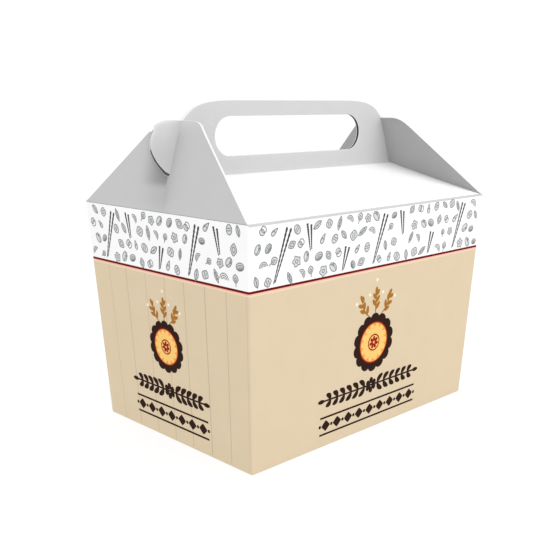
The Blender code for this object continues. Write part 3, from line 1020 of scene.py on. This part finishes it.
# %% Shapes for the medallion and the rows
DARK = board_finish("dark_brown_print", (0.026, 0.010, 0.007), 0.7, gloss=0.05)
DEEP_RED = board_finish("deep_red_print", (0.30, 0.014, 0.008), 0.7, gloss=0.05)
ORANGE = board_finish("orange_print", (0.80, 0.31, 0.055), 0.6, gloss=0.1)
YELLOW = board_finish("yellow_print", (0.90, 0.56, 0.17), 0.6, gloss=0.1)
GOLD = board_finish("golden_brown_print", (0.37, 0.155, 0.018), 0.6, gloss=0.08)
CREAM = board_finish("cream_print", (0.90, 0.80, 0.62), 0.55)
PRINT_FINISHES = [DARK, DEEP_RED, ORANGE, YELLOW, GOLD, CREAM, BEIGE_LINE]
OUTLINE_POINTS, LINE_STEPS = 32, 41
whole = np.linspace(0.0, 2 * math.pi, OUTLINE_POINTS, endpoint=False)
LAYER = 0.000022


def disc(radius, x=0.0, y=0.0):
    """A round fill, as an array of one outline."""
    return np.stack((x + radius * np.cos(whole), y + radius * np.sin(whole)), axis=-1)[None]


def discs(radius, places):
    """Round fills of one size at several places."""
    return np.concatenate([disc(radius, x, y) for x, y in places])


def petal_ring(count, start, end, width, turn=0.0):
    """A ring of round petals from one radius to another, each an ellipse that is wider at its tip."""
    across = width / 2 * np.sin(whole) * (1.0 + 0.28 * np.cos(whole))
    up = (start + end) / 2 + (end - start) / 2 * np.cos(whole)
    swing = turn + 2 * math.pi * np.arange(count)[:, None] / count
    x = across * np.cos(swing) + up * np.sin(swing)
    y = up * np.cos(swing) - across * np.sin(swing)
    return np.stack((x, y), axis=-1)


def long_leaf(foot, tip, width, bend=0.0):
    """A slender leaf between two points, bowed sideways by a sine."""
    foot, tip = np.asarray(foot, float), np.asarray(tip, float)
    run = tip - foot
    normal = left_of(unit_vectors(run))
    share = (1.0 - np.cos(whole)) / 2
    half = width / 2 * np.sin(whole) * np.abs(np.sin(whole)) ** 0.3
    aside = half + bend * np.sin(math.pi * share)
    return (foot + run * share[:, None] + normal * aside[:, None])[None]


STEM_WIDTH, LEAF_WIDTH, SPRIG_LEAVES = 1.2, 2.5, 5


def sprig(foot, tip, bend):
    """A bowed stem with leaves that leave it left and right in turn, and one at its tip."""
    foot, tip = np.asarray(foot, float), np.asarray(tip, float)
    forward = unit_vectors(tip - foot)
    left = left_of(forward)
    leaves = [long_leaf(foot, tip, STEM_WIDTH, bend)]
    for number in range(SPRIG_LEAVES):
        share = 0.22 + 0.62 * number / (SPRIG_LEAVES - 1)
        place = foot + (tip - foot) * share + left * bend * math.sin(math.pi * share)
        aside = left * (1.0 if number % 2 else -1.0)
        reach = (forward * 0.8 + aside * 0.6) * (6.2 - 2.0 * share)
        leaves.append(long_leaf(place, place + reach, LEAF_WIDTH))
    leaves.append(long_leaf(tip - forward * 2.0, tip + forward * 3.4, LEAF_WIDTH))
    return np.concatenate(leaves)


def medallion():
    """The rosette and its sprigs as (outlines, layer, finish), in millimetres from its middle."""
    sprigs = [sprig((0, 18), (0, 32), 0.0)]
    sprigs += [sprig((5 * side, 17), (13 * side, 29), -2.0 * side) for side in (-1, 1)]
    buds = ((-6.2, 31.0), (6.2, 31.0), (-18.0, 27.0), (18.0, 27.0), (0.0, 39.5))
    return [
        (petal_ring(14, 9.0, 18.8, 7.6), 1, DARK),
        (disc(14.2), 2, DARK),
        (disc(13.3), 3, DEEP_RED),
        (disc(12.5), 4, ORANGE),
        (petal_ring(14, 4.6, 12.0, 3.9, math.pi / 14), 5, YELLOW),
        (disc(5.4), 6, DEEP_RED),
        (disc(4.5), 7, YELLOW),
        (petal_ring(7, 0.7, 4.1, 2.0), 8, DEEP_RED),
        (np.concatenate(sprigs), 1, GOLD),
        (discs(1.05, buds), 1, CREAM),
    ]


def garland(half_across, pairs):
    """Two leafy branches out from a small blossom: leaves in pairs, smaller towards the ends."""
    across = np.linspace(-half_across + 2.0, half_across - 2.0, LINE_STEPS)
    stem = np.stack((across, np.zeros(LINE_STEPS)), axis=1)[None]
    shapes = [petal_ring(6, 0.9, 4.9, 3.1)]
    pitch = (half_across - 8.0) / pairs
    for number in range(pairs):
        foot = 5.6 + pitch * number
        reach = 5.4 - 1.4 * number / pairs
        for x, y in ((1, 1), (1, -1), (-1, 1), (-1, -1)):
            leaf_tip = (x * (foot + reach), y * reach * 0.92)
            shapes.append(long_leaf((x * foot, y * 0.4), leaf_tip, 3.2, x * y * 0.6))
    for x in (-1, 1):
        shapes.append(long_leaf((x * (half_across - 3.0), 0.0), (x * (half_across + 2.6), 0.0), 2.6))
    return stem, np.concatenate(shapes)


def lozenge_row(half_across, count, half_height=3.3):
    """Lozenges with dots between them, and two rules: coordinates raised to the power 1.8."""
    pitch = 2 * half_across / count
    places = -half_across + pitch * (np.arange(count) + 0.5)
    wave = np.stack((np.cos(whole), np.sin(whole)), axis=1)
    one = signed_power(wave, 1.8) * (0.36 * pitch, half_height)
    middle = np.stack((places, np.zeros(count)), axis=1)
    edges = np.linspace(-half_across, half_across, count + 1)
    across = np.linspace(-half_across, half_across, LINE_STEPS)
    rules = np.array([np.stack((across, np.full(LINE_STEPS, y)), axis=1) for y in (-5.2, 5.2)])
    return one + middle[:, None], discs(1.0, [(x, 0.0) for x in edges]), rules


print(sum(len(outlines) for outlines, _, _ in medallion()), "shapes in the medallion")

# %% Print the medallion, the rows and the faint upright lines
MM = 0.001
# Of a long and an end wall: the medallion's place and size, the rows' heights, half length and pairs.
WALL_PRINTS = ((-1.0, 55.5, 0.97, 28.5, 13.0, 44.0, 6), (-1.5, 58.0, 0.84, 31.0, 15.5, 34.0, 5))
STEM_INK, RULE_INK, UPRIGHT_POINTS = 1.1, 1.2, 12
UPRIGHT_PLACES = np.array((-0.752, -0.505, -0.236, 0.018, 0.262, 0.512, 0.755, 0.975))
UPRIGHT_WIDTHS = np.array((0.35, 0.60, 0.45, 0.50, 0.60, 0.75, 0.60, 0.25)) * MM


def wall_print(wall):
    """A wall's medallion and rows as parts, from shapes drawn in millimetres."""
    x, y, size, leaf_height, row_height, half_row, pairs = WALL_PRINTS[wall % 2]
    fills = [(outlines * size + (x, y), layer, finish) for outlines, layer, finish in medallion()]
    stem, leaves = garland(half_row, pairs)
    lozenges, dots, rules = lozenge_row(half_row, 2 * pairs - 3)
    fills.append((leaves + (x, leaf_height), 1, DARK))
    fills += [(shapes + (x, row_height), 1, DARK) for shapes in (lozenges, dots)]
    parts = []
    for outlines, layer, finish in fills:
        parts.append((ink_fills(wall, outlines * MM, INK_LIFT + LAYER * layer), finish))
    for lines, height, width in ((stem, leaf_height, STEM_INK), (rules, row_height, RULE_INK)):
        parts.append((ink_lines(wall, (lines + (x, height)) * MM, width * MM), DARK))
    return parts


def upright_lines(wall):
    """Faint lines up an end wall, at the same shares of its half width at every height.

    So they lean in with its sides, as the seams between boards would.
    """
    height = np.linspace(0.0014, PALE_LOW, UPRIGHT_POINTS)
    across = UPRIGHT_PLACES[:, None] * half_length(wall, height)
    lines = np.stack(np.broadcast_arrays(across, height), axis=-1)
    return ink_lines(wall, lines, UPRIGHT_WIDTHS[:, None], 0.5 * INK_LIFT), BEIGE_LINE


print_parts = [part for wall in range(4) for part in wall_print(wall)]
print_parts += [upright_lines(wall) for wall in (1, 3)]
print_piece("wall_print", print_parts, PRINT_FINISHES)

# %% [markdown]
# ## The bottom and the glued seam
#
# The bottom is four flaps of the same sheet: two short ones go in first, a long one covers them, and
# the last, with a tongue at its end, lies over them all. A single face would pass, but the steps
# between the flaps are what a turned-over carton shows. The loop of walls is closed by a glued seam
# at one corner of the back, and there the sheet's white cut edge shows as a thin line.

# %% Fold the bottom flaps and mark the seam
FOOT_X, FOOT_Y = FOOT_HALF - 0.0014
SHORT_LAYER, BACK_LAYER, FRONT_LAYER = (0.00076, 0.00108), (0.00042, 0.00072), (0.00006, 0.00038)
SHORT_REACH, SHORT_BEVEL, BACK_OVERLAP = 0.052, 0.006, 0.012
BEVEL_Y, TIP_Y, FRONT_TONGUE = 0.045, 0.030, (0.004, 0.040, 0.010)
SEAM_ENDS, SEAM_POINTS = (0.0012, 0.1352), 14
SEAM_INSET, SEAM_WIDTH, SEAM_LIFT = 0.0013, 0.00035, 0.00003


def flap_plate(name, outline, layer):
    """A flat board with the given outline between a layer's two heights."""
    flat = np.asarray(outline, float)
    loops = np.array([np.column_stack((flat, np.full(len(flat), height))) for height in layer])
    slots = [1] * len(flat) + [0, 0]
    put_mesh(name, loops, tube(loops), [BEIGE, CUT], slots)


def tongue(reach, half_width, bevel):
    """The free end of a bottom flap: a line across with a tongue in its middle, as x and y."""
    outline = [(-FOOT_X, reach), (-half_width - bevel, reach), (-half_width, reach + bevel)]
    return outline + [(-x, y) for x, y in outline[::-1]]


tip = FOOT_X - SHORT_REACH
bevel = tip + SHORT_BEVEL
corners = np.array(
    ((FOOT_X, -FOOT_Y), (FOOT_X, FOOT_Y), (bevel, BEVEL_Y), (tip, TIP_Y), (tip, -TIP_Y), (bevel, -BEVEL_Y))
)
flap_plate("bottom_short_left", corners * (-1, 1), SHORT_LAYER)
flap_plate("bottom_short_right", corners, SHORT_LAYER)
back_edge = [(-FOOT_X, FOOT_Y), (FOOT_X, FOOT_Y)]
back_edge += [(FOOT_X, -BACK_OVERLAP), (-FOOT_X, -BACK_OVERLAP)]
flap_plate("bottom_long_back", back_edge, BACK_LAYER)
front_edge = [(FOOT_X, -FOOT_Y), (-FOOT_X, -FOOT_Y)]
flap_plate("bottom_long_front", front_edge + tongue(*FRONT_TONGUE), FRONT_LAYER)

seam_height = np.linspace(*SEAM_ENDS, SEAM_POINTS)
seam_line = np.stack((wall_half(seam_height)[:, 0] - SEAM_INSET, seam_height), axis=1)
seam_strip = ink_lines(2, seam_line[None], SEAM_WIDTH, SEAM_LIFT)
print_piece("glued_seam", [(seam_strip, CUT)], [CUT])

# %% [markdown]
# ## Floor and light
#
# The box stands in plain white studio light, on a lit white table that leaves hardly a shadow. A white
# surround gives even light from all sides, as a light tent does, and three large soft lamps, high in
# front, at the side and above, give the walls their small differences in brightness.

# %% Floor, surround and lamps
FLOOR_HALF = 4.0
FLOOR_LOOK = {
    "Base Color": (0.20, 0.20, 0.20, 1.0),
    "Emission Color": (1.0, 1.0, 1.0, 1.0),
    "Emission Strength": 0.82,
    "Roughness": 0.9,
    "Specular IOR Level": 0.0,
}


def plain_floor():
    """A wide pale floor under the box, lit from below, so that only a faint shadow is left on it."""
    corners = [(FLOOR_HALF * x, FLOOR_HALF * y, 0.0) for x, y in ((-1, -1), (1, -1), (1, 1), (-1, 1))]
    mesh = bpy.data.meshes.new("floor")
    mesh.from_pydata(corners, [], [(0, 1, 2, 3)])
    material = bpy.data.materials.new("pale_floor")
    material.use_nodes = True
    set_inputs(material.node_tree.nodes["Principled BSDF"], FLOOR_LOOK)
    mesh.materials.append(material)
    floor = bpy.data.objects.new("floor", mesh)
    bpy.context.scene.collection.objects.link(floor)


def soft_lamp(name, place, target, size, watts):
    """A square area lamp that looks at a target."""
    lamp = bpy.data.lights.new(name, "AREA")
    lamp.shape = "SQUARE"
    lamp.size = size
    lamp.energy = watts
    made = bpy.data.objects.new(name, lamp)
    made.location = place
    made.rotation_euler = (Vector(place) - Vector(target)).to_track_quat("Z", "Y").to_euler()
    bpy.context.scene.collection.objects.link(made)


plain_floor()
soft_lamp("front_lamp", (0.35, -1.4, 0.9), (0.0, 0.0, 0.08), 1.2, 5.2)
soft_lamp("side_lamp", (-1.5, -0.1, 0.7), (0.0, 0.0, 0.08), 1.0, 1.0)
soft_lamp("top_lamp", (0.1, -0.2, 1.6), (0.0, 0.0, 0.15), 1.2, 4.5)
world = bpy.data.worlds.new("white_surround")
world.use_nodes = True
set_inputs(world.node_tree.nodes["Background"], {"Color": (1.0, 1.0, 1.0, 1.0), "Strength": 1.02})
bpy.context.scene.world = world
bpy.context.scene.view_settings.view_transform = "Standard"
print(len(bpy.data.lights), "lamps in place")
